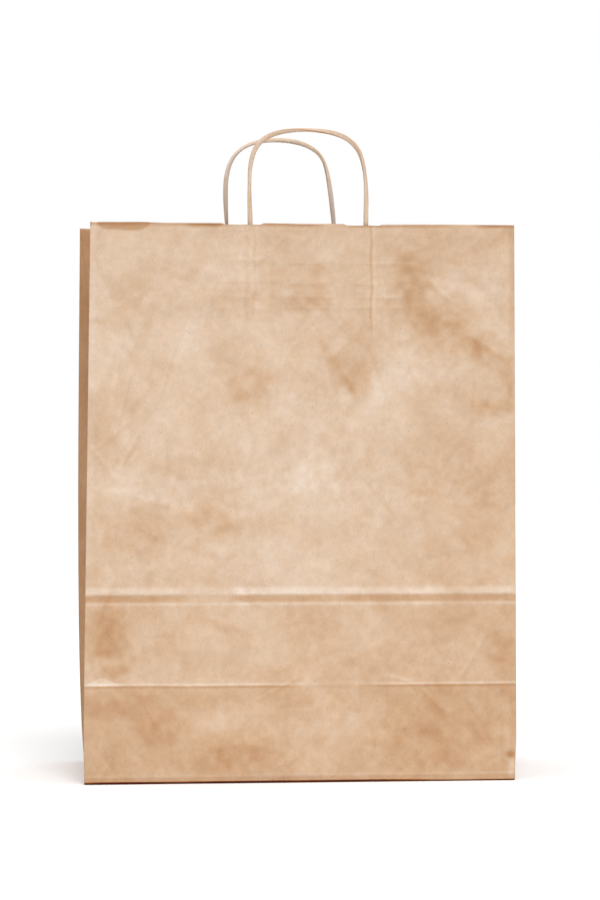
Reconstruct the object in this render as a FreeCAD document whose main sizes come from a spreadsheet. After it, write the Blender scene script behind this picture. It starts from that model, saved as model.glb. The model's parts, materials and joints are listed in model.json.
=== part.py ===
"""A kraft-paper carrier bag with twisted-paper handles, as separate glued and folded pieces.

Millimetres. +X runs across the front, -Y is the front and +Z is up. The origin is the middle of the
base, on the surface that the bag stands on. The base is fully open and the mouth is partly closed:
both wide panels lean inwards, and each side gusset folds in along its middle crease.
Every paper piece is a plate whose inner face lies on the folded surface, with its thickness outside.
"""
import FreeCAD, Part
import Sketcher
import math
import os

from FreeCAD import Matrix, Placement, Rotation, Vector

os.makedirs("parts", exist_ok=True)
doc = FreeCAD.newDocument("Bag")

SIZES = {
    "width": 320,  # of the wide panels
    "depth": 140,  # of the open base, so twice the width of a gusset half
    "height": 420,  # of the panels, measured along the paper
    "mouth_reach": 28,  # from the bag's middle plane to a panel's top edge
    "paper": 0.15,
    "glue": 0.05,
    "fold_gap": 0.3,  # from a hinged fold to a plate's edge
    "crease_gap": 0.8,  # from the gussets' middle creases to a plate's edge
    "base_lap": 30,  # overlap of the two base flaps
    "base_glue_inset": 12,
    "side_flap": 62,
    "seam_width": 16,
    "seam_inset": 3,
    "cord": 3.9,
    "pivot_rise": 2.5,  # from the mouth edge up to the point where a handle bends
    "front_spacing": 88,  # between a handle's two legs
    "rear_spacing": 84,
    "loop_height": 70.5,
    "handle_offset": 9,
    "leg_depth": 50,  # how far the legs run down inside the patch
    "patch_width": 160,
    "patch_height": 58,
    "patch_drop": 3,  # from the mouth edge down to the patches
    "notch_width": 28,
    "notch_depth": 1.8,
    "notch_flare": 3,
}

# Each handle's route, hand-chosen: across in half leg spacings, and up in loop heights.
FRONT_ROUTE = [
    (-1.0, 0.0), (-1.014, 0.305), (-1.0, 0.617), (-0.875, 0.844), (-0.545, 0.965), (0.0, 1.0),
    (0.557, 0.957), (0.875, 0.816), (0.989, 0.589), (1.018, 0.291), (1.0, 0.0),
]
REAR_ROUTE = [
    (-1.0, 0.0), (-0.940, 0.312), (-0.869, 0.617), (-0.750, 0.830), (-0.429, 0.955), (0.048, 1.0),
    (0.524, 0.969), (0.869, 0.844), (1.024, 0.631), (1.038, 0.319), (1.0, 0.0),
]

sheet = doc.addObject("Spreadsheet::Sheet", "Bag")
for row, (alias, value) in enumerate(SIZES.items(), start=1):
    sheet.set(f"A{row}", alias)
    sheet.set(f"B{row}", str(value))
    sheet.setAlias(f"B{row}", alias)
doc.recompute()

nodes = []


def cell(alias):
    """One driving size, read from the sheet."""
    return float(sheet.get(alias))


def pin_point(sketch, edge, end, across, up):
    """Fixes one corner of an outline at two expressions, measured from the sketch's origin."""
    for kind, axis, expression in (("DistanceX", -2, across), ("DistanceY", -1, up)):
        if expression == "0":
            sketch.addConstraint(Sketcher.Constraint("PointOnObject", edge, end, axis))
        else:
            index = sketch.addConstraint(Sketcher.Constraint(kind, -1, 1, edge, end, 10.0))
            sketch.setExpression(f"Constraints[{index}]", expression)


def paper_piece(name, corners, placement, reverse=False, thickness="Bag.paper"):
    """A plate cut to the closed outline and padded by one thickness of paper."""
    body = doc.addObject("PartDesign::Body", name)
    body.Label = name
    plane = [f for f in body.Origin.OriginFeatures if f.Role == "XY_Plane"][0]
    sketch = body.newObject("Sketcher::SketchObject", f"{name}_outline")
    sketch.AttachmentSupport = [(plane, "")]
    sketch.MapMode = "FlatFace"
    count = len(corners)
    for i in range(count):
        ends = []
        for j in (i, i + 1):
            turn = 2 * math.pi * j / count
            ends.append(Vector(200 + 100 * math.cos(turn), 200 + 100 * math.sin(turn), 0))
        sketch.addGeometry(Part.LineSegment(*ends))
    for i, (across, up) in enumerate(corners):
        sketch.addConstraint(Sketcher.Constraint("Coincident", i, 2, (i + 1) % count, 1))
        pin_point(sketch, i, 1, across, up)
    pad = body.newObject("PartDesign::Pad", f"{name}_sheet")
    pad.Profile = sketch
    pad.Reversed = reverse
    pad.setExpression("Length", thickness)
    sketch.Visibility = False
    body.Placement = placement
    nodes.append(body)
    return body


def primitive(kind, name, place, **sizes):
    """A Part box or cylinder whose sizes and place are bound to expressions."""
    solid = doc.addObject(kind, name)
    for key, expression in sizes.items():
        solid.setExpression(key, expression)
    for axis, expression in zip("xyz", place):
        solid.setExpression(f"Placement.Base.{axis}", expression)
    return solid


def axes_placement(origin, across, up):
    """The placement that lays local X along across and local Y along up."""
    out = across.cross(up)
    turned = Matrix(
        across.x, up.x, out.x, origin.x,
        across.y, up.y, out.y, origin.y,
        across.z, up.z, out.z, origin.z,
        0, 0, 0, 1,
    )
    return Placement(turned)


# ---- the folded shape, from the driving sizes ----

width = cell("width")
half = cell("depth") / 2
height = cell("height")
reach = cell("mouth_reach")
lean = math.asin((half - reach) / height)
gore_tilt = math.acos(math.tan(math.pi / 4 - lean / 2))
half_turn = Placement(Vector(0, 0, 0), Rotation(Vector(0, 0, 1), 180))

# The front left corner of the bag: foot, top of the panel's edge, gore apex and mouth crease.
foot = Vector(-width / 2, -half, 0)
panel_up = Vector(0, math.sin(lean), math.cos(lean))
panel_top = foot + panel_up * height
apex = Vector(-width / 2 + half * math.sin(gore_tilt), 0, half * math.cos(gore_tilt))


def mouth_crease_point():
    """The top of the middle crease: half a gusset from the panel's top and straight above the apex."""
    near = math.sqrt(half ** 2 - reach ** 2)
    far = height - half
    dx = apex.x - panel_top.x
    dz = apex.z - panel_top.z
    span = math.hypot(dx, dz)
    along = (near ** 2 - far ** 2 + span ** 2) / (2 * span)
    off = math.sqrt(near ** 2 - along ** 2)
    x = panel_top.x + (along * dx - off * dz) / span
    z = panel_top.z + (along * dz + off * dx) / span
    return Vector(x, 0, z)


crease_top = mouth_crease_point()


def mirrored(point):
    """The same point or direction on the bag's right side."""
    return Vector(-point.x, point.y, point.z)


front_frame = axes_placement(foot, Vector(1, 0, 0), panel_up)


# ---- base ----

def rectangle(left, low, right, high):
    return [(left, low), (right, low), (right, high), (left, high)]


def level(layers, glued):
    """The base's outline frame, lifted by a number of paper and glue layers."""
    lift = layers * cell("paper") + glued * cell("glue")
    return Placement(Vector(-width / 2, -half, lift), Rotation())


def make_base():
    left = "Bag.fold_gap"
    right = "Bag.width - Bag.fold_gap"
    rear = "Bag.depth - Bag.fold_gap"
    lap_low = "Bag.depth / 2 - Bag.base_lap / 2"
    lap_high = "Bag.depth / 2 + Bag.base_lap / 2"
    paper_piece("base_rear_flap", rectangle(left, lap_low, right, rear), level(0, 0))
    glue_line = rectangle(
        "Bag.base_glue_inset", f"{lap_low} + 3", "Bag.width - Bag.base_glue_inset", f"{lap_high} - 3"
    )
    paper_piece("base_glue", glue_line, level(1, 0), thickness="Bag.glue")
    paper_piece("base_front_flap", rectangle(left, left, right, lap_high), level(1, 1))
    edge = "Bag.fold_gap + Bag.side_flap"
    side_left = [
        (left, "Bag.fold_gap * 2"),
        (edge, "Bag.fold_gap * 2 + Bag.side_flap"),
        (edge, "Bag.depth - Bag.fold_gap * 2 - Bag.side_flap"),
        (left, "Bag.depth - Bag.fold_gap * 2"),
    ]
    side_right = [(f"Bag.width - ({across})", up) for across, up in side_left]
    paper_piece("base_side_flap_left", side_left, level(2, 1))
    paper_piece("base_side_flap_right", side_right, level(2, 1))


# ---- the two wide panels ----

def notch(centre):
    """A shallow cut in the mouth edge round one handle leg, right to left."""
    low = "Bag.height - Bag.notch_depth"
    wide = "Bag.notch_width / 2"
    return [
        (f"{centre} + {wide}", "Bag.height"),
        (f"{centre} + {wide} - Bag.notch_flare", low),
        (f"{centre} - {wide} + Bag.notch_flare", low),
        (f"{centre} - {wide}", "Bag.height"),
    ]


def panel_outline(spacing):
    middle = "Bag.width / 2 + Bag.handle_offset"
    outline = [("0", "0"), ("Bag.width", "0"), ("Bag.width", "Bag.height")]
    outline += notch(f"{middle} + {spacing} / 2")
    outline += notch(f"{middle} - {spacing} / 2")
    outline.append(("0", "Bag.height"))
    return outline


def make_seam(name, placement):
    """The glued flap that closes the tube, inside the panel's edge."""
    right = "Bag.seam_inset + Bag.seam_width"
    outline = rectangle("Bag.seam_inset", "Bag.seam_inset", right, "Bag.height - Bag.seam_inset")
    paper_piece(name, outline, placement, reverse=True)


# ---- handles and their patches ----

def route_points(route, spacing):
    """The handle's corner points in its panel's own frame."""
    middle = width / 2 + cell("handle_offset")
    bend = height + cell("pivot_rise")
    inside = -(cell("paper") + cell("cord") / 2)
    points = []
    for across, up in route:
        points.append(Vector(middle + across * spacing / 2, bend + up * cell("loop_height"), inside))
    return points


def rounded_path(points, name):
    """Straight runs joined by tangent arcs, each as large as its two runs allow."""
    edges = []
    start = points[0]
    length = 0.0
    for before, corner, after in zip(points, points[1:], points[2:]):
        back = (before - corner).normalize()
        ahead = (after - corner).normalize()
        turn = math.pi - back.getAngle(ahead)
        trim = 0.45 * min((before - corner).Length, (after - corner).Length)
        radius = trim / math.tan(turn / 2)
        first = corner + back * trim
        last = corner + ahead * trim
        centre = corner + (back + ahead).normalize() * (radius / math.cos(turn / 2))
        middle = centre + (corner - centre).normalize() * radius
        edges.append(Part.LineSegment(start, first).toShape())
        edges.append(Part.Arc(first, middle, last).toShape())
        length += (first - start).Length + radius * turn
        start = last
        print(f"{name}: radius {radius:.1f} mm at a turn of {math.degrees(turn):.0f} degrees")
    edges.append(Part.LineSegment(start, points[-1]).toShape())
    length += (points[-1] - start).Length
    return Part.Wire(edges), length


def make_loop(name, route, spacing, placement):
    """The free loop of twisted paper cord, with a round end at each point where it bends."""
    points = route_points(route, spacing)
    path, length = rounded_path(points, name)
    radius = cell("cord") / 2
    ring = Part.Circle(points[0], points[1] - points[0], radius).toShape()
    tube = path.makePipeShell([Part.Wire(ring)], True, False)
    print(f"{name}: tube volume over section times length {tube.Volume / (math.pi * radius ** 2 * length):.4f}")
    for end in (points[0], points[-1]):
        tube = tube.fuse(Part.makeSphere(radius, end))
    loop = doc.addObject("Part::Feature", name)
    loop.Label = name
    loop.Shape = tube.removeSplitter()
    loop.Placement = placement
    nodes.append(loop)


def leg_centre(spacing, side):
    return f"Bag.width / 2 + Bag.handle_offset + {side} * {spacing} / 2"


def make_leg(name, spacing, side, placement):
    """The fixed end of a handle, glued between the two patches."""
    leg = doc.addObject("Part::Cylinder", name)
    leg.Label = name
    leg.setExpression("Radius", "Bag.cord / 2")
    leg.setExpression("Height", "Bag.leg_depth + Bag.pivot_rise - Bag.cord / 2 - Bag.fold_gap")
    across = width / 2 + cell("handle_offset") + side * spacing / 2
    inside = -(cell("paper") + cell("cord") / 2)
    base = Vector(across, height - cell("leg_depth"), inside)
    upright = Placement(base, Rotation(Vector(1, 0, 0), -90))
    leg.Placement = placement.multiply(upright)
    nodes.append(leg)


def make_patches(end, spacing, placement):
    """Two paper patches that hold the legs: one flat on the panel, one pressed over the cords."""
    low = "Bag.height - Bag.patch_drop - Bag.patch_height"
    high = "Bag.height - Bag.patch_drop"
    middle = "Bag.width / 2 + Bag.handle_offset"
    left = f"{middle} - Bag.patch_width / 2"
    right = f"{middle} + Bag.patch_width / 2"
    paper_piece(f"{end}_patch_outer", rectangle(left, low, right, high), placement, reverse=True)

    deep = "-Bag.paper - Bag.cord / 2"
    flat = primitive(
        "Part::Box", f"{end}_patch_flat", (left, low, "-2 * Bag.paper"),
        Length="Bag.patch_width", Width="Bag.patch_height", Height="Bag.paper",
    )
    walls = [flat]
    channels = []
    for side, word in ((-1, "left"), (1, "right")):
        centre = leg_centre(spacing, side)
        for group, part, radius, rise in (
            (walls, "wall", "Bag.cord / 2 + Bag.paper", "Bag.cord / 2"),
            (channels, "channel", "Bag.cord / 2", "Bag.cord / 2 + Bag.paper"),
        ):
            tunnel = primitive(
                "Part::Cylinder", f"{end}_{part}_round_{word}", (centre, low, deep),
                Radius=radius, Height="Bag.patch_height",
            )
            tunnel.Placement.Rotation = Rotation(Vector(1, 0, 0), -90)
            sides = primitive(
                "Part::Box", f"{end}_{part}_sides_{word}", (f"{centre} - ({radius})", low, deep),
                Length=f"2 * ({radius})", Width="Bag.patch_height", Height=rise,
            )
            group += [tunnel, sides]
    outside = doc.addObject("Part::MultiFuse", f"{end}_patch_walls")
    outside.Shapes = walls
    inside = doc.addObject("Part::MultiFuse", f"{end}_patch_channels")
    inside.Shapes = channels
    patch = doc.addObject("Part::Cut", f"{end}_patch_inner")
    patch.Label = f"{end}_patch_inner"
    patch.Base = outside
    patch.Tool = inside
    patch.Placement = placement
    nodes.append(patch)


# ---- side gussets ----

SLOPE = "(Bag.depth / 2) / (Bag.height - Bag.depth / 2)"
DIAGONAL_SHIFT = f"(Bag.fold_gap * sqrt(1 + ({SLOPE})^2))"
CREASE_SIDE = "Bag.depth / 2 - Bag.crease_gap"
GORE_GAP = "Bag.crease_gap * sqrt(2)"

LOWER_OUTLINE = [
    ("Bag.fold_gap", f"Bag.fold_gap + {GORE_GAP}"),
    (CREASE_SIDE, f"{CREASE_SIDE} + {GORE_GAP}"),
    (CREASE_SIDE, f"Bag.height - ({CREASE_SIDE} + {DIAGONAL_SHIFT}) / ({SLOPE})"),
    ("Bag.fold_gap", f"Bag.height - (Bag.fold_gap + {DIAGONAL_SHIFT}) / ({SLOPE})"),
]
UPPER_OUTLINE = [
    (CREASE_SIDE, f"Bag.height - ({CREASE_SIDE} - {DIAGONAL_SHIFT}) / ({SLOPE})"),
    (CREASE_SIDE, "Bag.height"),
    (DIAGONAL_SHIFT, "Bag.height"),
]
GORE_OUTLINE = [
    (f"Bag.fold_gap + {GORE_GAP}", "Bag.fold_gap"),
    (f"Bag.depth - Bag.fold_gap - {GORE_GAP}", "Bag.fold_gap"),
    ("Bag.depth / 2 + Bag.crease_gap / 2", f"Bag.depth / 2 - {GORE_GAP} - Bag.crease_gap / 2"),
    ("Bag.depth / 2 - Bag.crease_gap / 2", f"Bag.depth / 2 - {GORE_GAP} - Bag.crease_gap / 2"),
]


def make_gusset_half(side, end):
    """The two flat facets of one gusset half, which meet on a soft diagonal fold."""
    reflect = mirrored if side * end < 0 else Vector
    turn = Placement() if end > 0 else half_turn
    name = f"{'left' if side > 0 else 'right'}_gusset_{'front' if end > 0 else 'rear'}"
    corner, up = reflect(foot), panel_up
    across = (reflect(apex) - corner - up * half).normalize()
    lower_place = axes_placement(corner, across, up)
    top, crease, low = reflect(panel_top), reflect(crease_top), reflect(apex)
    upper_across = (crease - top).normalize()
    upper_up = (crease - low).normalize()
    upper_origin = crease - upper_across * half - upper_up * height
    upper_place = axes_placement(upper_origin, upper_across, upper_up)
    inward = reflect is Vector
    paper_piece(f"{name}_lower", LOWER_OUTLINE, turn.multiply(lower_place), reverse=inward)
    paper_piece(f"{name}_upper", UPPER_OUTLINE, turn.multiply(upper_place), reverse=inward)


def make_gore(name, turn):
    """The triangle between the base and the two gusset halves."""
    rear_foot = Vector(-width / 2, half, 0)
    up = (apex - Vector(-width / 2, 0, 0)).normalize()
    place = axes_placement(rear_foot, Vector(0, -1, 0), up)
    paper_piece(name, GORE_OUTLINE, turn.multiply(place))


make_base()
for end, turn, spacing, route in (
    ("front", Placement(), "front_spacing", FRONT_ROUTE),
    ("rear", half_turn, "rear_spacing", REAR_ROUTE),
):
    place = turn.multiply(front_frame)
    paper_piece(f"{end}_panel", panel_outline(f"Bag.{spacing}"), place)
    make_patches(end, f"Bag.{spacing}", place)
    make_leg(f"{end}_leg_left", cell(spacing), -1, place)
    make_leg(f"{end}_leg_right", cell(spacing), 1, place)
    make_loop(f"{end}_handle", route, cell(spacing), place)
make_seam("side_seam", half_turn.multiply(front_frame))
for side in (1, -1):
    for end in (1, -1):
        make_gusset_half(side, end)
make_gore("left_bottom_gore", Placement())
make_gore("right_bottom_gore", half_turn)
doc.recompute()

for thing in doc.Objects:
    if "Invalid" in thing.State or "Error" in thing.State:
        raise RuntimeError(f"{thing.Name} failed: {thing.State}")
for node in nodes:
    if node.Shape.isNull() or not node.Shape.isValid() or node.Shape.Volume <= 0:
        raise RuntimeError(f"{node.Label} has no valid shape")
for node in nodes:
    node.Shape.exportStep(f"parts/{node.Label}.step")
    print(f"{node.Label}: {node.Shape.Volume:.1f} mm3")
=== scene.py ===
import json
import math
from collections import namedtuple

import bmesh
import bpy
import numpy as np
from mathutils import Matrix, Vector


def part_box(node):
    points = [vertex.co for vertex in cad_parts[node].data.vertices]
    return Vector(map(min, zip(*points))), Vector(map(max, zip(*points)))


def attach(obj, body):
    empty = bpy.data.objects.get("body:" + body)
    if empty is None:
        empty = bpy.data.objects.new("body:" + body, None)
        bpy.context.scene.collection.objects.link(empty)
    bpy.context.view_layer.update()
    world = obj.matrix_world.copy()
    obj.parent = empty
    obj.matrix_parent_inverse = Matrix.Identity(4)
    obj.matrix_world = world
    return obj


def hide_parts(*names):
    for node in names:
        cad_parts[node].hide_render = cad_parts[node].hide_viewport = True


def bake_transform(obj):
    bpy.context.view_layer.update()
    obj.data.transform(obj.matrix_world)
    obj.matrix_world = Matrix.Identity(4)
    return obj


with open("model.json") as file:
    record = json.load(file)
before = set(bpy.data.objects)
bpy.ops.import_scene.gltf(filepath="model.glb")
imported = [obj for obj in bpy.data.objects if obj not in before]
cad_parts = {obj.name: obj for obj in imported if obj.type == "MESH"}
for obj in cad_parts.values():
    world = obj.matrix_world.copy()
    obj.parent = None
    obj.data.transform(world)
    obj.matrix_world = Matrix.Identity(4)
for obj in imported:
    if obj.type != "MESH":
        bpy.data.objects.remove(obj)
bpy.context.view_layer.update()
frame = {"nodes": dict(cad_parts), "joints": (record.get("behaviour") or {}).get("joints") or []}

MM = 0.001

# ---- the folded shape, from the frame ----

joints = {j["name"]: j for j in frame["joints"]}
panel_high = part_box("front_panel")[1]
WIDTH = 2 * panel_high[0]
HALF_DEPTH = abs(joints["mouth_close"]["pos_m"][1])
FOOT = np.array([-WIDTH / 2, -HALF_DEPTH, 0.0])
PANEL_UP = -np.array(joints["left_front_lower_fold"]["axis"], float)
HEIGHT = panel_high[2] / PANEL_UP[2]
MOUTH_Z = panel_high[2]
PANEL_TOP = FOOT + PANEL_UP * HEIGHT
OUTWARD = np.cross(np.array([1.0, 0, 0]), PANEL_UP)
MOUTH_REACH = -PANEL_TOP[1]
APEX = np.array(joints["left_front_upper_fold"]["pos_m"], float)
BEND = np.array(joints["front_handle_fold"]["pos_m"], float)

PAPER = 0.15 * MM
CORD = 3.9 * MM
TOOTH = 1.9 * MM  # pitch of the cut edge's teeth

# How the bag is turned on itself, in millimetres.
FRONT_SLIDE = 5.5  # how far the front's top edge has slid to the right
REAR_SLIDE = 3.7  # how far the rear's top edge has slid to the left
REAR_BOW = 3.8  # how much further to the left the rear stands a third of the way up
SIDE_BULGE = 1.2  # how far the front's side folds stand out above the lowest 40 mm

# Tones, which are added to 1 and then multiply the paper's colour.
DARKEST = -0.88  # nothing is darker than this
SIDE_PAINTED_SHADE = -0.28  # painted shade on the gussets and gores, which face away from the light
FOOT_SHADOW = -0.93  # the line under the front's bottom fold


def crease_top():
    """The top of a gusset's middle crease: half the depth from the panel's top corner."""
    near = math.sqrt(HALF_DEPTH**2 - MOUTH_REACH**2)
    far = HEIGHT - HALF_DEPTH
    dx, dz = APEX[0] - PANEL_TOP[0], APEX[2] - PANEL_TOP[2]
    span = math.hypot(dx, dz)
    along = (near**2 - far**2 + span**2) / (2 * span)
    off = math.sqrt(near**2 - along**2)
    x = PANEL_TOP[0] + (along * dx - off * dz) / span
    return np.array([x, 0.0, PANEL_TOP[2] + (along * dz + off * dx) / span])


CREASE_TOP = crease_top()
SAME = np.ones(3)
MIRROR = np.array([-1.0, 1.0, 1.0])
TURN = np.array([-1.0, -1.0, 1.0])


# ---- fields that shape paper, in millimetres over the flat sheet ----


def smooth(t):
    t = np.clip(t, 0, 1)
    return t * t * (3 - 2 * t)


def clouds(u, v, size, seed):
    """Soft noise from -1 to 1 whose features are about size across."""
    table = np.random.default_rng(seed).uniform(-1, 1, (97, 97))
    x, y = u / size + 300, v / size + 300
    i, j = np.floor(x).astype(int), np.floor(y).astype(int)
    a, b = smooth(x - i), smooth(y - j)
    low = table[i % 97, j % 97] * (1 - a) + table[(i + 1) % 97, j % 97] * a
    high = table[i % 97, (j + 1) % 97] * (1 - a) + table[(i + 1) % 97, (j + 1) % 97] * a
    return low * (1 - b) + high * b


def pulled(u, v, size, seed):
    """Soft noise whose shapes are drawn out of round, as in handled paper."""
    x = u + 0.7 * size * clouds(u, v, 0.8 * size, seed + 50)
    y = v + 0.7 * size * clouds(u, v, 0.8 * size, seed + 51)
    return clouds(x, y, size, seed)


def fold(u, v, at, angle, half_length, width, depth, line=0.0, shade=0.0):
    """One crease's height and tone. line is painted shade or light along it, and shade is painted
    light on one side and painted shade on the other.
    """
    c, s = math.cos(math.radians(angle)), math.sin(math.radians(angle))
    along = (u - at[0]) * c + (v - at[1]) * s
    across = (v - at[1]) * c - (u - at[0]) * s
    fade = smooth(2.2 * (1 - np.abs(along) / half_length))
    lift = depth * np.exp(-np.abs(across) / width) * fade
    near = across / width
    tone = (line * np.exp(-((1.6 * near) ** 2)) + shade * near * np.exp(-(near**2))) * fade
    return lift, tone


def crumple(u, v, seed, strength=1.0):
    """The general handling marks of a kraft sheet: soft waves and many short creases, with painted
    light and shade along the creases.
    """
    facet, small = pulled(u, v, 46, seed + 12), pulled(u, v, 19, seed + 13)
    lift = 0.8 * clouds(u, v, 95, seed) + 1.3 * np.abs(facet) + 0.42 * np.abs(small)
    lift = lift + 0.16 * pulled(u, v, 11, seed + 2) + 0.05 * clouds(u, v, 5, seed + 3)
    tone = 0.046 * pulled(u, v, 70, seed + 4) + 0.032 * pulled(u, v, 27, seed + 5)
    tone = tone + 0.030 * pulled(u, v, 11, seed + 6) + 0.018 * pulled(u, v, 5, seed + 8)
    # Painted light on one side of each facet crease and painted shade on the other.
    for field, width in ((facet, 0.035), (small, 0.06)):
        broken = smooth(0.3 + clouds(u, v, 26, seed + 10))
        tone = tone + broken * (0.022 * np.exp(-np.abs(field - width) / width))
        tone = tone - broken * (0.028 * np.exp(-np.abs(field + width) / width))
    draw = np.random.default_rng(seed + 7)
    spread = (u.min(), u.max(), v.min(), v.max())
    count = int(70 * (spread[1] - spread[0]) * (spread[3] - spread[2]) / 60000) + 6
    for _ in range(count):
        at = (draw.uniform(*spread[:2]), draw.uniform(*spread[2:]))
        size = draw.uniform(10, 34)
        depth = draw.uniform(-0.42, 0.42)
        mark = fold(u, v, at, draw.uniform(0, 180), size, draw.uniform(1.5, 6), depth, -0.02, 0.04)
        lift = lift + mark[0]
        tone = tone + mark[1]
    return strength * lift, strength * tone


def blob(u, v, at, size, angle=0.0):
    """A soft oval from 1 in its middle to 0 outside."""
    c, s = math.cos(math.radians(angle)), math.sin(math.radians(angle))
    x = ((u - at[0]) * c + (v - at[1]) * s) / size[0]
    y = ((v - at[1]) * c - (u - at[0]) * s) / size[1]
    return smooth(1.25 - 0.72 * np.sqrt(x**2 + y**2))


# Places on the wide panels, in millimetres from the middle and from the foot.
SHEET_TOP = 420
FOLD_BAND = 137.0  # height of the mark that the folded base pressed into each panel
HALF_FOLD = 71.5  # height of the fold at half the base's depth
BOTTOM_FOLD = 9  # height of the finer rows along the rounded bottom fold
MOUTH_EDGE = 408.5  # and of those under the mouth: the last row is taller than a tooth
EDGE_SHADE = 417.2  # the cut edge's shading starts here
FRONT_LEGS = (-39.5, 48.5)  # where the handle's legs press through the front
REAR_LEGS = (-38.0, 46.0)
FRONT_NOTCHES = ((-46.0, 14.5), (44.7, 13.3))  # middle and half width of the cuts by the legs
REAR_NOTCHES = ((-44.0, 14.0), (43.0, 14.0))
CURLS = ((-135.0, 20.0, 1.0), (-74.0, 14.0, 0.5))  # middle, half width and strength


def storage_folds(u, v):
    """The mark of the flat-folded base on a wide panel: painted light above and along its lower
    lip, painted shade in the fold.
    """
    lift, tone = fold(u, v, (0, FOLD_BAND + 2.5), 0, 400, 3.4, 0.6)
    gap = smooth((np.abs(u + 70) - 14) / 10)
    above = np.exp(-(((v - FOLD_BAND - 4.6) / 2.9) ** 4)) * (0.35 + 0.65 * gap)
    band = np.exp(-(((v - FOLD_BAND + 1.2) / 2.6) ** 4)) * (0.25 + 0.75 * gap)
    under = np.exp(-(((v - FOLD_BAND + 5.2) / 1.0) ** 2))
    uneven = 1 + 0.3 * clouds(u, v, 22, 71)
    return lift - 0.4 * band, tone + (0.10 * above - 0.125 * band + 0.07 * under) * uneven


def half_fold(u, v):
    """The fold at half the base's depth: painted light and shade along it, and painted shade on the
    paper below it, which is turned from the light.
    """
    level = v - HALF_FOLD - 0.35 * clouds(u, v, 40, 72)
    gap = 1 - 0.9 * blob(u, v, (24, HALF_FOLD), (30, 20))
    lift = 0.6 * np.exp(-np.abs(level) / 2.0) * gap
    line = np.exp(-(((level - 1.0) / 0.9) ** 2)) - 0.9 * np.exp(-(((level + 1.0) / 0.9) ** 2))
    below = smooth((0.6 - level) / 1.2) * np.exp(-np.maximum(-level, 0) / 22)
    return lift, (0.11 * line - 0.05 * below) * gap


def patch_marks(u, v, legs, seed):
    """The patch and the cords behind the paper, embossed through it, with painted light and shade
    beside the raised lines.
    """
    lift = np.zeros_like(u)
    tone = np.zeros_like(u)
    for leg, strength in zip(legs, (0.35, 1.0)):
        wander = leg + (1.6 - strength) * clouds(u * 0, v, 9, seed)
        near = u - wander
        reach = smooth((v - 340 + 14 * strength) / 26)
        lift += 0.55 * np.exp(-((near / 2.6) ** 2)) * reach
        tone -= 0.115 * strength * np.exp(-(((near - 2.4) / 0.95) ** 2)) * reach
        tone += 0.045 * np.exp(-(((near - 4.6) / 1.3) ** 2)) * reach * (0.3 + 0.7 * strength)
        tone -= 0.035 * np.exp(-(((near + 3.6) / 1.2) ** 2)) * reach * (1.4 - strength)
    middle = (legs[0] + legs[1]) / 2
    draw = np.random.default_rng(seed)
    for height in (389.0, 374.5, 371.0, 362.0, 353.5):
        for part in (-1, 0, 1):
            at = (middle + 50 * part + draw.uniform(-8, 8), height + draw.uniform(-1.5, 1.5))
            tilt = draw.uniform(-2.5, 2.5)
            length, shade = draw.uniform(16, 34), draw.uniform(0.02, 0.075)
            line = fold(u, v, at, tilt, length, 1.6, 0.25, -0.03, shade)
            lift += line[0]
            tone += line[1]
    return lift, tone


def teeth(u):
    """1 at the gaps between the cut edge's teeth, and 0 at their tips."""
    return np.rint((u - u.min()) / (TOOTH / MM / 2)).astype(int) % 2


def mouth_cut(u, notches, seed):
    """How many millimetres the cut edge lies below the full height: teeth and notches."""
    drop = (1.25 + 0.45 * clouds(u, u * 0, 30, seed)) * teeth(u)
    for middle, half in notches:
        inside = smooth((half + 1.5 - np.abs(u - middle)) / 3)
        drop = drop * (1 - inside) + 1.7 * inside
    return drop


# Dents in the front, lighter or darker by painted light and shade: middle, half size, angle and
# tone.
FRONT_SHADES = (
    ((84, 396), (13, 24), 0, -0.075),
    ((84, 372), (13, 13), 0, -0.085),
    ((97, 352), (22, 12), -38, -0.060),
    ((113, 334), (42, 13), -20, -0.105),
    ((138, 322), (24, 8), -30, -0.075),
    ((128, 372), (28, 12), -4, 0.075),
    ((118, 352), (14, 9), -40, 0.022),
    ((112, 300), (34, 13), 0, 0.030),
    ((26, 308), (22, 7), -52, -0.100),
    ((46, 320), (16, 16), 0, -0.095),
    ((43, 295), (9, 8), 0, -0.090),
    ((68, 306), (16, 30), -22, 0.040),
    ((-8, 361), (27, 5), 0, -0.085),
    ((-4, 383), (24, 8), 0, -0.060),
    ((-62, 364), (20, 7), 0, -0.040),
    ((-45, 294), (16, 10), 10, -0.105),
    ((-58, 312), (14, 7), -30, -0.035),
    ((-92, 330), (26, 14), -30, 0.026),
    ((-38, 246), (74, 38), 0, 0.050),
    ((8, 222), (46, 22), -10, 0.026),
    ((-113, 217), (34, 12), -14, 0.075),
    ((-37, 166), (56, 17), 0, 0.055),
    ((-70, 190), (20, 10), -8, -0.100),
    ((-124, 177), (22, 10), 0, -0.070),
    ((-151, 168), (9, 26), 0, -0.055),
    ((-150, 262), (10, 24), 0, -0.030),
    ((112, 215), (32, 44), 0, -0.045),
    ((141, 281), (17, 4), -6, -0.075),
    ((153, 297), (4, 12), 0, -0.080),
    ((148, 270), (14, 5), 0, 0.040),
    ((-144, 114), (11, 16), 0, -0.135),
    ((-141, 89), (12, 13), 0, -0.125),
    ((-62, 116), (17, 5), -18, -0.060),
    ((-100, 102), (30, 14), 20, 0.020),
    ((60, 108), (34, 14), 0, 0.016),
    ((150, 96), (11, 26), 0, -0.110),
    ((20, 92), (18, 7), 24, -0.030),
    ((-47, 21), (30, 15), 8, -0.105),
    ((-104, 41), (16, 13), 0, -0.065),
    ((-130, 58), (30, 11), -12, -0.065),
    ((-58, 47), (18, 9), 0, 0.060),
    ((14, 40), (40, 20), 12, 0.060),
    ((-151, 17), (6, 7), 0, 0.045),
    ((92, 26), (50, 18), 8, -0.070),
    ((96, 58), (16, 4), -45, -0.060),
)
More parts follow.
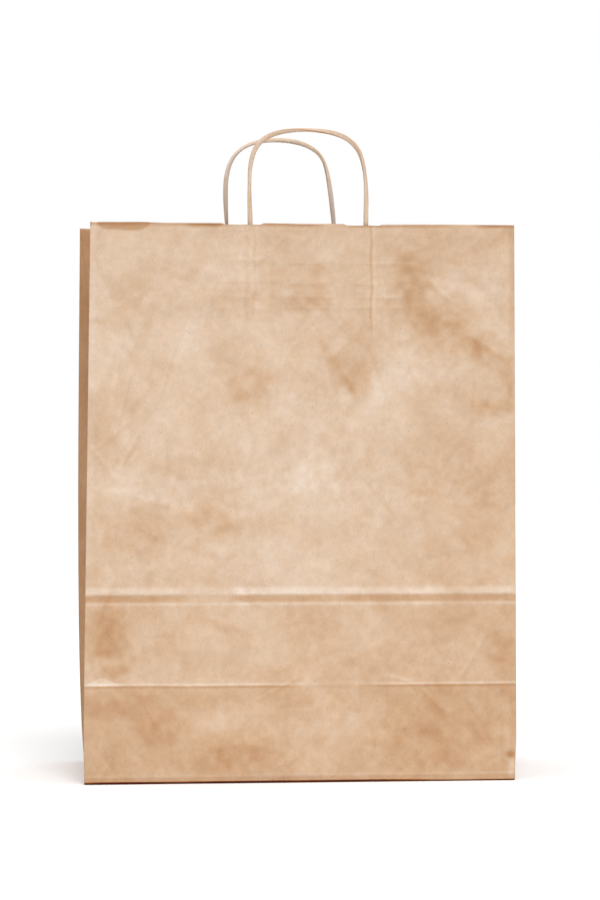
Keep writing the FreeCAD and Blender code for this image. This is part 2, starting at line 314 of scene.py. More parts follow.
# Creases on the front: middle, angle, half length, width, depth, line tone (painted shade or light
# along the crease) and side tone (painted light on one side, painted shade on the other).
FRONT_CREASES = (
    ((103, 368), -46, 17, 2.2, 0.45, -0.01, 0.09),
    ((140, 324), -34, 20, 2.6, 0.50, -0.04, 0.06),
    ((54, 306), -70, 26, 2.4, 0.45, 0.0, -0.07),
    ((30, 304), -56, 24, 2.4, 0.35, -0.04, 0.03),
    ((141, 278), -6, 18, 2.0, 0.40, 0.0, -0.075),
    ((-151, 345), -4, 10, 1.6, 0.30, -0.05, 0.04),
    ((-140, 258), 40, 20, 2.0, 0.35, -0.04, 0.05),
    ((-128, 246), 62, 20, 2.0, 0.35, -0.03, 0.05),
    ((-148, 236), -52, 16, 2.0, 0.30, -0.04, 0.05),
    ((-112, 208), -14, 24, 2.2, 0.35, -0.02, 0.06),
    ((70, 364), 10, 12, 1.2, 0.25, 0.05, 0.05),
    ((66, 369), -6, 12, 1.0, 0.20, 0.05, 0.05),
    ((-60, 118), -20, 20, 2.0, 0.30, -0.03, 0.03),
    ((128, 92), 58, 24, 2.2, 0.40, 0.0, 0.06),
    ((98, 58), -45, 18, 1.6, 0.35, -0.06, 0.04),
    ((-112, 50), -62, 11, 1.2, 0.25, -0.07, 0.03),
    ((-18, 68), 28, 20, 1.8, 0.30, -0.04, 0.05),
    ((-40, 30), 14, 26, 2.0, 0.30, -0.02, 0.04),
    ((4, 24), 38, 22, 2.0, 0.30, 0.0, 0.05),
    ((72, 76), -16, 12, 1.8, 0.40, 0.07, 0.05),
)


def front_surface(u, v):
    lift, tone = crumple(u, v, 11, 0.9)
    for part in (storage_folds(u, v), half_fold(u, v), patch_marks(u, v, FRONT_LEGS, 5)):
        lift = lift + part[0]
        tone = tone + part[1]
    x = u + 3.2 * clouds(u, v, 17, 201) + 2.6 * clouds(u, v, 6, 202)
    y = v + 3.2 * clouds(u, v, 17, 203) + 2.6 * clouds(u, v, 6, 204)
    for at, size, angle, shade in FRONT_SHADES:
        spot = blob(x, y, at, size, angle)
        lift = lift - 4 * shade * spot
        tone = tone + 0.86 * shade * spot * (1 + 0.7 * clouds(u, v, 6, 31))
    for at, angle, length, width, depth, line, shade in FRONT_CREASES:
        mark = fold(u, v, at, angle, length, width, depth, line, shade)
        lift = lift + mark[0]
        tone = tone + mark[1]
    # A painted highlight on a triangle where the half fold meets the left side, and painted light
    # and shade on the rounded bottom fold.
    above = v - HALF_FOLD
    tip = smooth((7.5 - 0.42 * np.abs(u + 147) - above) / 1.6) * smooth(above / 0.8)
    tone = tone + 0.11 * tip * smooth((u + 159) / 2)
    tone = tone + 0.055 * np.exp(-(((v - 5.5) / 0.9) ** 2)) - 0.05 * smooth((5.0 - v) / 1.5)
    # Broad tone: browner to the right and towards the foot, above all at its left end.
    tone = tone - 0.045 * smooth((u - 30) / 90) - 0.042 * smooth((FOLD_BAND - v) / 12)
    tone = tone - 0.055 * smooth((HALF_FOLD - v) / 10) * (1 - 0.5 * smooth((u + 90) / 90))
    # The shadow line under the rounded bottom fold.
    shadow = 1.5 + 0.5 * clouds(u, v * 0, 45, 15) - 0.7 * smooth((u - 20) / 140)
    tone = tone + FOOT_SHADOW * smooth((shadow - v) / 0.7)
    # The left side fold gets painted light and the right one painted shade.
    tone = tone + 0.035 * smooth((-154 - u) / 3) * smooth((v - 150) / 60)
    tone = tone - 0.075 * smooth((u - 154.5) / 3) * smooth((v - 300) / 60)
    # The lower right corner is knocked in, with painted shade above the dent and a painted
    # highlight below it.
    knock = blob(u, v, (157, 13), (5, 8))
    lift = lift - 1.6 * knock
    tone = tone - 0.22 * blob(u, v, (156, 19), (3, 2.2)) + 0.14 * blob(u, v, (157.5, 9), (2.2, 5))
    # Painted shade darkens the cut edge between its teeth; the edge curls outwards in two places,
    # with painted shade on the curled strip.
    uneven = 0.6 + 0.6 * clouds(u, v * 0, 24, 33)
    tone = tone - 0.85 * smooth((v - EDGE_SHADE) / 1.6) * (0.1 + 0.9 * teeth(u)) * uneven
    for middle, half, strength in CURLS:
        inside = np.clip(1 - ((u - middle) / half) ** 4, 0, 1) ** 0.5
        depth = 4.0 + 4.5 * strength + 2.4 * clouds(u, v, 13, 3) - 0.08 * (u - middle)
        edge = v - SHEET_TOP + depth * inside
        lift = lift + 1.3 * strength * inside * smooth((v - 409) / 11)
        tone = tone - 0.21 * strength * smooth(edge / 2.2) * smooth(2.5 * inside)
    return lift, tone


def rear_surface(u, v):
    lift, tone = crumple(u, v, 47, 0.9)
    for part in (storage_folds(u, v), half_fold(-u, v), patch_marks(u, v, REAR_LEGS, 9)):
        lift = lift + part[0]
        tone = tone + part[1]
    return lift, tone


def facet_surface(seed):
    """The surface of a gusset facet or a gore, darkened by painted shade."""

    def surface(u, v):
        lift, tone = crumple(u, v, seed, 0.62)
        return lift, tone + SIDE_PAINTED_SHADE

    return surface


# ---- building a paper sheet ----


SEAM_FADE = 7 * MM  # a sheet's dents fade out over this distance to its seams


def twisted(p):
    """The slight turn of the bag: each height slides sideways in step with its depth."""
    out = p.copy()
    height = np.clip(p[:, 2] / MOUTH_Z, 0, 1.02)
    reach = HALF_DEPTH - (HALF_DEPTH - MOUTH_REACH) * height
    depth = np.clip(-p[:, 1] / reach, -1, 1)
    rear = REAR_SLIDE * height + REAR_BOW * np.sin(math.pi * height**0.6)
    out[:, 0] += np.where(depth > 0, FRONT_SLIDE * height, rear) * depth * MM
    bulge = SIDE_BULGE * MM * smooth(p[:, 2] / (40 * MM)) * np.clip(depth, 0, 1)
    out[:, 0] += bulge * p[:, 0] / (WIDTH / 2)
    return out


def seam_distance(p, a, b):
    """How far each point lies from the line through a and b."""
    d = (b - a) / np.linalg.norm(b - a)
    r = p - a
    return np.linalg.norm(r - np.outer(r @ d, d), axis=1)


def paper(
    name, corners, outward, steps, surface, seams, cut=None, origin=None, after=None, fine=()
):
    """A sheet between four corners (lower left, lower right, upper right, upper left).

    surface gives its height and tone over the flat sheet, measured in millimetres from origin, and
    the height fades out at its seams. cut shortens the top edge. after moves the finished points.
    fine adds rows at these fractions of the height. The result has real thickness."""
    corners = [np.array(c, float) for c in corners]
    low_left, low_right, high_right, high_left = corners
    heights = np.union1d(np.linspace(0, 1, steps[1] + 1), fine)
    row, rows = steps[0] + 1, len(heights) - 1
    s, t = np.meshgrid(np.linspace(0, 1, row), heights)
    s, t = s.ravel()[:, None], t.ravel()[:, None]
    p = (1 - t) * ((1 - s) * low_left + s * low_right) + t * ((1 - s) * high_left + s * high_right)
    out = np.array(outward, float) / np.linalg.norm(outward)
    up = (high_left + high_right - low_left - low_right) / 2
    up = up - out * (up @ out)
    up /= np.linalg.norm(up)
    side = np.cross(up, out)
    start = low_left if origin is None else np.array(origin, float)
    u, v = (p - start) @ side / MM, (p - start) @ up / MM
    lift, tone = surface(u, v)
    tone = np.clip(tone, DARKEST, 1)
    for i, j in seams:
        lift = lift * smooth(seam_distance(p, corners[i], corners[j]) / SEAM_FADE)
    if cut is not None:
        top = (np.arange(len(p)) // row) == rows
        p[top] -= np.outer(cut(u[top]) * MM, up)
    p = p + np.outer(lift * MM, out)
    if after is not None:
        p = after(p)
    faces = []
    for r in range(rows):
        for a in range(r * row, (r + 1) * row - 1):
            faces.append((a, a + 1, a + 1 + row, a + row))
    obj = mesh_object(name, twisted(p), faces, tone)
    mend(obj)
    thicken(obj)
    return obj


def mesh_object(name, points, faces, tone):
    """A new mesh with smooth faces and a tone at each point."""
    mesh = bpy.data.meshes.new(name)
    mesh.from_pydata(points.tolist(), [], faces)
    mesh.attributes.new("tone", "FLOAT", "POINT").data.foreach_set("value", tone.astype(np.float32))
    mesh.polygons.foreach_set("use_smooth", np.ones(len(faces), bool))
    obj = bpy.data.objects.new(name, mesh)
    bpy.context.collection.objects.link(obj)
    return obj


def mend(obj):
    """Joins the points that meet at a triangle's tip, and drops faces with no area."""
    mesh = bmesh.new()
    mesh.from_mesh(obj.data)
    bmesh.ops.remove_doubles(mesh, verts=mesh.verts, dist=1e-5)
    bmesh.ops.dissolve_degenerate(mesh, dist=1e-6, edges=mesh.edges)
    mesh.to_mesh(obj.data)
    mesh.free()


def thicken(obj):
    """Gives a sheet the paper's thickness, half to each side."""
    solid = obj.modifiers.new("paper", "SOLIDIFY")
    solid.thickness = PAPER
    solid.offset = 0
    solid.use_rim = True


# ---- materials ----


def node(tree, kind, **values):
    n = tree.nodes.new(kind)
    for key, value in values.items():
        setattr(n, key, value)
    return n


def noise_node(tree, vector, scale, detail=3.0, roughness=0.55, kind="FBM"):
    n = node(tree, "ShaderNodeTexNoise", noise_type=kind)
    n.inputs["Scale"].default_value = scale
    n.inputs["Detail"].default_value = detail
    n.inputs["Roughness"].default_value = roughness
    tree.links.new(vector, n.inputs["Vector"])
    return n.outputs["Fac"]


def ramp_node(tree, value, stops):
    n = node(tree, "ShaderNodeValToRGB")
    ramp = n.color_ramp
    while len(ramp.elements) < len(stops):
        ramp.elements.new(0.5)
    for element, (at, colour) in zip(ramp.elements, stops):
        element.position = at
        element.color = (*colour, 1)
    tree.links.new(value, n.inputs["Fac"])
    return n.outputs["Color"]


def mix_node(tree, blend, amount, a, b):
    n = node(tree, "ShaderNodeMix", data_type="RGBA", blend_type=blend)
    if isinstance(amount, float):
        n.inputs[0].default_value = amount
    else:
        tree.links.new(amount, n.inputs[0])
    for socket, value in ((n.inputs[6], a), (n.inputs[7], b)):
        if isinstance(value, tuple):
            socket.default_value = (*value, 1)
        else:
            tree.links.new(value, socket)
    return n.outputs[2]


def maths(tree, operation, a, b):
    n = node(tree, "ShaderNodeMath", operation=operation)
    for socket, value in zip(n.inputs, (a, b)):
        if isinstance(value, (int, float)):
            socket.default_value = value
        else:
            tree.links.new(value, socket)
    return n.outputs[0]


def grey(value):
    return (value, value, value)


def kraft(name, light, dark, grain=(1.0, 1.0, 0.22), fleck=0.30, creased=7.0):
    """Brown kraft paper: cloudy pulp, long fibres, dark flecks and a dry, cockled face."""
    material = bpy.data.materials.new(name)
    material.use_nodes = True
    tree = material.node_tree
    shader = tree.nodes["Principled BSDF"]
    shader.inputs["Roughness"].default_value = 0.82
    shader.inputs["Specular IOR Level"].default_value = 0.22
    place = node(tree, "ShaderNodeTexCoord").outputs["Object"]
    stretch = node(tree, "ShaderNodeMapping")
    stretch.inputs["Scale"].default_value = grain
    tree.links.new(place, stretch.inputs["Vector"])
    fibre_place = stretch.outputs["Vector"]
    cloud = noise_node(tree, place, 21, 8.0, 0.62)
    pulp = noise_node(tree, place, 190, 3.0)
    fibre = noise_node(tree, fibre_place, 1500, 3.0, 0.6)
    speck = noise_node(tree, place, 620, 2.0, 0.7)
    colour = ramp_node(tree, cloud, [(0.36, dark), (0.64, light)])
    mottled = ramp_node(tree, pulp, [(0.34, grey(0.95)), (0.66, grey(1.03))])
    colour = mix_node(tree, "MULTIPLY", 1.0, colour, mottled)
    threads = ramp_node(tree, fibre, [(0.32, grey(0.90)), (0.52, grey(1.0)), (0.70, grey(1.04))])
    colour = mix_node(tree, "MULTIPLY", 0.6, colour, threads)
    specks = ramp_node(tree, speck, [(0.24, grey(fleck)), (0.32, grey(1.0))])
    colour = mix_node(tree, "MULTIPLY", 0.6, colour, specks)
    # The tone attribute holds the paper's own mottling together with painted light and shade.
    tone = node(tree, "ShaderNodeAttribute", attribute_name="tone").outputs["Fac"]
    # A dark tone takes away more green than red, and more blue than green.
    lighter = maths(tree, "ADD", 1.0, tone)
    warm = maths(tree, "POWER", lighter, 1.85)
    cool = maths(tree, "POWER", lighter, 2.9)
    toned = node(tree, "ShaderNodeCombineColor")
    for socket, value in zip(toned.inputs, (lighter, warm, cool)):
        tree.links.new(value, socket)
    colour = mix_node(tree, "MULTIPLY", 1.0, colour, toned.outputs["Color"])
    tree.links.new(colour, shader.inputs["Base Color"])
    cockle = maths(tree, "MULTIPLY", pulp, 0.6)
    relief = maths(tree, "ADD", cockle, maths(tree, "MULTIPLY", fibre, 0.22))
    crinkle = noise_node(tree, place, 19, 5.0, 0.5, "RIDGED_MULTIFRACTAL")
    relief = maths(tree, "ADD", relief, maths(tree, "MULTIPLY", crinkle, creased))
    bump = node(tree, "ShaderNodeBump")
    bump.inputs["Strength"].default_value = 0.35
    bump.inputs["Distance"].default_value = 0.0004
    tree.links.new(relief, bump.inputs["Height"])
    tree.links.new(bump.outputs["Normal"], shader.inputs["Normal"])
    return material


KRAFT = kraft("kraft_paper", (0.645, 0.478, 0.345), (0.595, 0.425, 0.295))
PATCH = kraft("patch_paper", (0.66, 0.46, 0.30), (0.58, 0.385, 0.24))
TWISTED = kraft(
    "paper_cord", (0.66, 0.49, 0.36), (0.59, 0.415, 0.285),
    grain=(1.0, 1.0, 0.2), fleck=0.6, creased=0.0,
)


def glue_material():
    material = bpy.data.materials.new("glue")
    material.use_nodes = True
    tree = material.node_tree
    shader = tree.nodes["Principled BSDF"]
    shader.inputs["Roughness"].default_value = 0.45
    place = node(tree, "ShaderNodeTexCoord").outputs["Object"]
    streak = noise_node(tree, place, 90, 3.0)
    colour = ramp_node(tree, streak, [(0.3, (0.66, 0.58, 0.45)), (0.7, (0.80, 0.74, 0.62))])
    tree.links.new(colour, shader.inputs["Base Color"])
    return material


def finish_paper(obj, body, nodes, material=KRAFT, ride=True):
    obj.data.materials.append(material)
    if nodes:
        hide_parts(*nodes)
    if ride:
        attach(obj, body)


# ---- the wide panels ----


FINE_ROWS = np.concatenate([
    np.arange(level - 8, level + 8, 0.7) * MM / HEIGHT
    for level in (BOTTOM_FOLD, HALF_FOLD, FOLD_BAND, MOUTH_EDGE)
])


def make_panel(end, flip, surface, notches, seed):
    """One wide panel, from its foot to the toothed mouth edge. u runs from the panel's middle."""
    corners = [c * flip for c in (FOOT, FOOT * MIRROR, PANEL_TOP * MIRROR, PANEL_TOP)]
    columns = int(round(WIDTH / (TOOTH / 2)))
    panel = paper(
        f"{end}_panel_paper", corners, OUTWARD * flip, (columns, 210), surface,
        seams=((0, 1), (1, 2), (3, 0)), cut=lambda u: mouth_cut(u, notches, seed),
        origin=np.array([0, -HALF_DEPTH, 0]) * flip, fine=FINE_ROWS,
    )
    finish_paper(panel, f"{end}_wall", [f"{end}_panel"])


# ---- side gussets and gores ----

DIAGONAL_LENGTH = np.linalg.norm(PANEL_TOP - APEX)
DIAGONAL = (PANEL_TOP - APEX) / DIAGONAL_LENGTH


def away_from_diagonal(point):
    """The direction from the diagonal fold straight towards a point."""
    r = point - APEX
    r = r - DIAGONAL * (r @ DIAGONAL)
    return r / np.linalg.norm(r)


INTO_LOWER = away_from_diagonal(FOOT)
INTO_UPPER = away_from_diagonal(CREASE_TOP)
HOLLOW = (INTO_LOWER + INTO_UPPER) / np.linalg.norm(INTO_LOWER + INTO_UPPER)
HALF_TURN = math.asin(np.linalg.norm(INTO_LOWER + INTO_UPPER) / 2)


def soften_diagonal(flip):
    """Rounds the fold between the two facets of a gusset half."""

    def after(p):
        q = p * flip - APEX
        along = q @ DIAGONAL
        distance = np.linalg.norm(q - np.outer(along, DIAGONAL), axis=1)
        room = 0.11 * np.minimum(along, DIAGONAL_LENGTH - along)
        reach = np.clip(room, 0.02 * MM, 17 * MM)
        push = 0.5 * reach * math.tan(HALF_TURN) * np.clip(1 - distance / reach, 0, 1) ** 2
        return p + np.outer(push, HOLLOW) * flip

    return after


def make_gusset_half(side, end, flip, seed):
    """Two facets that meet on the diagonal. The upper one bends over into the lower one."""
    name = f"{side}_gusset_{end}"
    lower, upper = f"{side}_{end}_lower", f"{side}_{end}_upper"
    foot, top, apex, crease = (c * flip for c in (FOOT, PANEL_TOP, APEX, CREASE_TOP))
    inside = np.array([1.0, -0.4, 0.0]) * flip
    low_out = np.cross(apex - foot, top - foot)
    low_out *= -np.sign(low_out @ inside)
    high_out = np.cross(crease - top, apex - top)
    high_out *= -np.sign(high_out @ inside)
    soften = soften_diagonal(flip)
    low_sheet = paper(
        f"{name}_lower_paper", (foot, apex, top, top), low_out, (34, 130), facet_surface(seed),
        seams=((0, 1), (1, 2), (3, 0)), after=soften,
    )
    finish_paper(low_sheet, lower, [f"{name}_lower"])
    columns = int(round(HALF_DEPTH / (TOOTH / 2)))
    high_sheet = paper(
        f"{name}_upper_paper", (apex, apex, crease, top), high_out, (columns, 110),
        facet_surface(seed + 20), seams=((1, 2), (3, 0)),
        cut=lambda u: mouth_cut(u, (), seed), after=soften,
    )
    finish_paper(high_sheet, upper, [f"{name}_upper"], ride=False)
    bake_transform(high_sheet)


def make_gore(side, flip, seed):
    """The triangle between the base and both halves of a gusset."""
    apex, foot, rear = (c * flip for c in (APEX, FOOT, FOOT * np.array([1, -1, 1])))
    out = np.cross(apex - foot, rear - foot)
    out *= np.sign(out @ (np.array([-1.0, 0, 0]) * flip))
    gore = paper(
        f"{side}_gore_paper", (foot, rear, apex, apex), out, (56, 30), facet_surface(seed),
        seams=((0, 1), (1, 2), (3, 0)),
    )
    finish_paper(gore, f"{side}_gore", [f"{side}_bottom_gore"])


# ---- the folded base ----


def flap_surface(seed):
    def surface(u, v):
        lift, tone = crumple(u, v, seed, 0.12)
        return lift * 0.2, tone * 4

    return surface


def make_base_flap(name, outline, level, down, seed):
    """One flat flap of the bottom, at the height of its CAD piece."""
    corners = [(x, y, level) for x, y in outline]
    flap = paper(
        f"{name}_paper", corners, (0, 0, -1 if down else 1), (64, 20), flap_surface(seed),
        seams=((0, 1), (1, 2), (2, 3), (3, 0)),
    )
    finish_paper(flap, "base", [name])


def make_base():
    """Two wide flaps, and two side flaps whose inner corners are cut at 45 degrees."""
    for name, seed in (("base_rear_flap", 61), ("base_front_flap", 62)):
        low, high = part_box(name)
        outline = [(low[0], low[1]), (high[0], low[1]), (high[0], high[1]), (low[0], high[1])]
        make_base_flap(name, outline, (low[2] + high[2]) / 2, name == "base_rear_flap", seed)
    for name, seed, sign in (("base_side_flap_left", 63, 1), ("base_side_flap_right", 64, -1)):
        low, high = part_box(name)
        inset = high[0] - low[0]
        outer, inner = (low[0], high[0]) if sign > 0 else (high[0], low[0])
        near, far = low[1], high[1]
        outline = [(outer, near), (inner, near + inset), (inner, far - inset), (outer, far)]
        make_base_flap(name, outline, (low[2] + high[2]) / 2, False, seed)


# ---- handles ----

LOOP_HEIGHT = 70.5 * MM
HANDLE_OFFSET = 9 * MM  # how far right of the bag's middle the front handle stands
LEG_BURIED = 48 * MM
LEG_SPREAD = 1.003  # the buried legs stand this much wider halfway down
LEG_LEVEL = 0.93  # height of the buried legs, as a share of the panel's
LEG_BOW = 0.5  # what the rear's bow adds to its slide there, in millimetres
TWIST = 130 * MM  # length of the cord's full turn
AROUND = 28  # points around the cord
RIB = 2.3  # half width of the rib that the inner patch makes over a cord, in millimetres
CORD_INSIDE = OUTWARD @ (PANEL_TOP - BEND) / MM  # depth of the cord's middle inside the panel
FRONT_ROUTE = [
    (-1.0, 0.0), (-1.014, 0.305), (-1.0, 0.617), (-0.875, 0.844), (-0.545, 0.965), (0.0, 1.0),
    (0.557, 0.957), (0.875, 0.816), (0.989, 0.589), (1.018, 0.291), (1.0, 0.0),
]
REAR_ROUTE = [
    (-1.0, 0.0), (-0.940, 0.312), (-0.869, 0.617), (-0.750, 0.830), (-0.429, 0.955), (0.048, 1.0),
    (0.524, 0.969), (0.869, 0.844), (1.024, 0.631), (1.038, 0.319), (1.0, 0.0),
]


# shift and drop move the whole handle towards the bag's middle and down. slid is how far, in
# millimetres, the sheet has slid at the legs.
# tone is painted light that brightens each cord, the rear one more because the front panel shades
# it.
Handle = namedtuple("Handle", "flip route spacing shift drop slid tone seed")
HANDLES = {
    "front": Handle(
        flip=SAME, route=FRONT_ROUTE, spacing=88 * MM, shift=0, drop=0,
        slid=LEG_LEVEL * FRONT_SLIDE, tone=0.04, seed=301,
    ),
    "rear": Handle(
        flip=TURN, route=REAR_ROUTE, spacing=84 * MM, shift=1.3 * MM, drop=3.2 * MM,
        slid=LEG_LEVEL * REAR_SLIDE + LEG_BOW, tone=0.14, seed=331,
    ),
}


def handle_points(handle):
    """The route in the front panel's frame, with both legs carried down between the patches."""
    line = [(x * handle.spacing / 2, z * LOOP_HEIGHT) for x, z in handle.route]
    first, last = line[0][0], line[-1][0]
    bottom, middle = -LEG_BURIED, -LEG_BURIED / 2
    line = [(first, bottom), (first * LEG_SPREAD, middle)] + line
    line = line + [(last * LEG_SPREAD, middle), (last, bottom)]
    start = np.array([HANDLE_OFFSET - handle.shift, BEND[1], BEND[2]])
    return [start + [x, 0, 0] + PANEL_UP * (z - handle.drop) for x, z in line]


def spline_line(points):
    """The smooth line that the route's points control."""
    curve = bpy.data.curves.new("route", "CURVE")
    curve.dimensions = "3D"
    spline = curve.splines.new("NURBS")
    spline.points.add(len(points) - 1)
    for target, point in zip(spline.points, points):
        target.co = (*point, 1)
    spline.order_u = 3
    spline.use_endpoint_u = True
    spline.resolution_u = 26
    holder = bpy.data.objects.new("route", curve)
    bpy.context.collection.objects.link(holder)
    mesh = bpy.data.meshes.new_from_object(holder)
    line = np.array([v.co[:] for v in mesh.vertices])
    bpy.data.objects.remove(holder)
    bpy.data.curves.remove(curve)
    bpy.data.meshes.remove(mesh)
    return line


def cord_section(angle, along, seed):
    """The radius and tone of a paper cord: a flat roll with a slow twist and a wrapped edge."""
    turn = angle - 2 * math.pi * along / TWIST - seed
    edge = np.exp(-((np.sin(turn / 2) * 9.0) ** 2))
    edge = edge + 0.6 * np.exp(-((np.sin(turn / 2 + 1.1) * 12.0) ** 2))
    oval = 0.13 * np.cos(2 * turn) + 0.02 * clouds(along / MM, angle, 16, seed)
    radius = CORD / 2 * (0.84 + oval - 0.05 * edge)
    # The groove at the wrapped edge is a real dip in the radius, and painted shade darkens it.
    tone = -0.34 * edge + 0.035 * clouds(along / MM, 3 * angle, 11, seed + 1)
    tone = tone - 0.05 * smooth(-clouds(along / MM, angle, 5, seed + 2) - 0.3)
    return np.minimum(radius, CORD / 2), tone


def make_handle(end, handle):
    """One cord, from the foot of one leg to the foot of the other. Its loop rises above the mouth.
    """
    flip = handle.flip
    line = spline_line([p * flip for p in handle_points(handle)])
    gaps = np.linalg.norm(np.diff(line, axis=0), axis=1)
    along = np.concatenate([[0], np.cumsum(gaps)])
    rings = int(along[-1] / (0.8 * MM))
    at = np.linspace(0, along[-1], rings)
    centre = np.stack([np.interp(at, along, line[:, k]) for k in range(3)], axis=1)
    ahead = np.gradient(centre, axis=0)
    ahead /= np.linalg.norm(ahead, axis=1)[:, None]
    out = OUTWARD * flip
    first = out[None, :] - ahead * (ahead @ out)[:, None]
    first /= np.linalg.norm(first, axis=1)[:, None]
    second = np.cross(ahead, first)
    angle, place = np.meshgrid(np.arange(AROUND) * 2 * math.pi / AROUND, at)
    radius, tone = cord_section(angle, place, handle.seed)
    ring = np.cos(angle)[..., None] * first[:, None] + np.sin(angle)[..., None] * second[:, None]
    points = (centre[:, None] + radius[..., None] * ring).reshape(-1, 3)
    faces = []
    for r in range(rings - 1):
        here, following = r * AROUND, (r + 1) * AROUND
        for c in range(AROUND):
            d = (c + 1) % AROUND
            faces.append((here + c, here + d, following + d, following + c))
    faces.append(tuple(reversed(range(AROUND))))
    faces.append(tuple(range((rings - 1) * AROUND, rings * AROUND)))
    # handle.tone adds each cord's painted light.
    cord = mesh_object(f"{end}_handle_cord", points, faces, (tone + handle.tone).ravel())
    cord.data.materials.append(TWISTED)
    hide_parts(f"{end}_handle", f"{end}_leg_left", f"{end}_leg_right")
    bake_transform(cord)


# ---- what is glued inside the wide panels ----

PATCH_BOTTOM, PATCH_TOP = HEIGHT - 61 * MM, HEIGHT - 3 * MM
SEAM_INSET = 3 * MM  # distance from the side seam's flap to the panel's edges
SEAM_WIDTH = 16 * MM


def lining(name, flip, bounds, layer, panel_surface, cover=None):
    """A strip glued inside a wide panel, which follows the panel's own dents.

    bounds are in the panel. cover gives the least depth inside the panel that the strip has to
    keep, and its tone."""
    left, right, bottom, top = bounds
    foot = np.array([0, -HALF_DEPTH, 0])
    corners = []
    for x, z in ((left, bottom), (right, bottom), (right, top), (left, top)):
        corners.append((foot + np.array([x, 0, 0]) + PANEL_UP * z) * flip)

    def surface(u, v):
        # The strip takes the panel's tone, painted light and shade included, unless cover gives its
        # own.
        lift, tone = panel_surface(u, v)
        lift = lift - 0.5 * layer
        if cover is not None:
            depth, tone = cover(u, v)
            lift = np.minimum(lift, -depth)
        return lift, tone

    steps = int((right - left) / (0.8 * MM)), int((top - bottom) / (2 * MM))
    return paper(name, corners, OUTWARD * flip, steps, surface, seams=(), origin=foot * flip)


def make_patches(end, handle):
    """The outer patch against the panel, and the inner one that is pressed over both cords."""
    low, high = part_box(f"{end}_patch_inner")
    half_width = (high[0] - low[0]) / 2
    bounds = HANDLE_OFFSET - half_width, HANDLE_OFFSET + half_width, PATCH_BOTTOM, PATCH_TOP
    middle = HANDLE_OFFSET - handle.shift
    legs = [(middle + side * handle.spacing / 2) / MM - handle.slid for side in (-1, 1)]

    def over_cords(u, v):
        waves, tone = crumple(u, v, handle.seed + 11, 0.10)
        depth = np.full_like(u, -9.0)
        for leg in legs:
            near = np.abs(u - leg)
            rib = np.sqrt(np.clip(RIB**2 - near**2, 0, None)) - 1.5 * np.clip(near - RIB, 0, None)
            depth = np.maximum(depth, CORD_INSIDE + rib)
            # Painted shade in the groove beside each rib.
            tone = tone - 0.05 * np.exp(-(((near - 3.4) / 0.8) ** 2))
        return depth + np.abs(waves), tone * 2

    for part, layer, cover in (("outer", 1, None), ("inner", 2, over_cords)):
        name = f"{end}_patch_{part}"
        sheet = lining(f"{name}_sheet", handle.flip, bounds, layer, SURFACES[end], cover)
        finish_paper(sheet, f"{end}_wall", [name], PATCH)


def make_seam():
    """The glued flap inside the rear panel that closes the tube."""
    left = -WIDTH / 2 + SEAM_INSET
    bounds = (left, left + SEAM_WIDTH, SEAM_INSET, HEIGHT - SEAM_INSET)
    strip = lining("side_seam_sheet", TURN, bounds, 1, rear_surface)
    finish_paper(strip, "rear_wall", ["side_seam"])


# ---- assembling ----

SURFACES = {"front": front_surface, "rear": rear_surface}

make_panel("front", SAME, front_surface, FRONT_NOTCHES, 21)
make_panel("rear", TURN, rear_surface, REAR_NOTCHES, 22)
for side, end, flip, seed in (
    ("left", "front", SAME, 101),
    ("right", "front", MIRROR, 131),
    ("left", "rear", TURN * MIRROR, 161),
    ("right", "rear", TURN, 191),
):
    make_gusset_half(side, end, flip, seed)
make_gore("left", SAME, 221)
make_gore("right", TURN, 241)
make_base()
for end, handle in HANDLES.items():
    make_handle(end, handle)
    make_patches(end, handle)
make_seam()
glue_line = frame["nodes"]["base_glue"]
glue_line.data.materials.clear()
glue_line.data.materials.append(glue_material())


# ---- stage, light and camera ----


FLOOR_GAP = 0.5 * MM  # how far the floor lies below the base


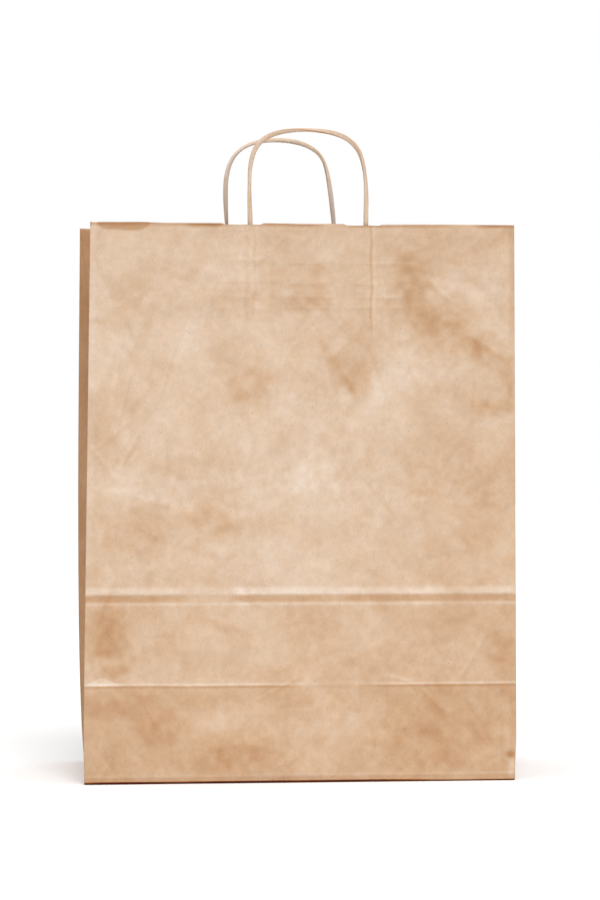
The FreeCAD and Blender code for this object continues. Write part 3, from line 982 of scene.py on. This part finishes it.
def make_floor():
    bpy.ops.mesh.primitive_plane_add(size=14, location=(0, 2.0, -FLOOR_GAP))
    floor = bpy.context.object
    floor.name = "floor"
    material = bpy.data.materials.new("floor")
    material.use_nodes = True
    shader = material.node_tree.nodes["Principled BSDF"]
    shader.inputs["Base Color"].default_value = (0.93, 0.93, 0.93, 1)
    shader.inputs["Roughness"].default_value = 0.9
    shader.inputs["Specular IOR Level"].default_value = 0.1
    floor.data.materials.append(material)


def make_world():
    """A plain white studio: pure white where it is seen, and dimmer as light."""
    world = bpy.data.worlds.new("studio")
    world.use_nodes = True
    tree = world.node_tree
    soft = tree.nodes["Background"]
    soft.inputs["Color"].default_value = (1.0, 1.0, 1.0, 1)
    soft.inputs["Strength"].default_value = 0.31
    seen = node(tree, "ShaderNodeBackground")
    seen.inputs["Strength"].default_value = 1.0
    seen.inputs["Color"].default_value = (1.0, 1.0, 1.0, 1)
    mix = node(tree, "ShaderNodeMixShader")
    path = node(tree, "ShaderNodeLightPath")
    tree.links.new(path.outputs["Is Camera Ray"], mix.inputs[0])
    tree.links.new(soft.outputs[0], mix.inputs[1])
    tree.links.new(seen.outputs[0], mix.inputs[2])
    tree.links.new(mix.outputs[0], tree.nodes["World Output"].inputs["Surface"])
    bpy.context.scene.world = world


def make_sun(name, direction, strength, softness):
    """A soft light from a direction. softness is the angle in degrees that it comes from."""
    data = bpy.data.lights.new(name, "SUN")
    data.energy = strength
    data.angle = math.radians(softness)
    light = bpy.data.objects.new(name, data)
    x, y, z = direction
    light.rotation_euler = (math.atan2(math.hypot(x, y), z), 0, math.atan2(x, -y))
    bpy.context.collection.objects.link(light)


def make_camera():
    data = bpy.data.cameras.new("camera")
    data.sensor_fit = "VERTICAL"
    data.sensor_height = 36
    data.lens = 98.0
    camera = bpy.data.objects.new("camera", data)
    camera.location = (-0.154, -1.878, 0.2459)
    camera.rotation_euler = (math.pi / 2, 0, -math.radians(4.84))
    bpy.context.collection.objects.link(camera)
    bpy.context.scene.camera = camera


make_floor()
make_world()
make_sun("key", (0.12, -1.0, 1.35), 1.55, 30)
make_sun("overhead", (0.0, -0.2, 1.0), 1.75, 110)
make_camera()
bpy.context.scene.view_settings.view_transform = "Standard"
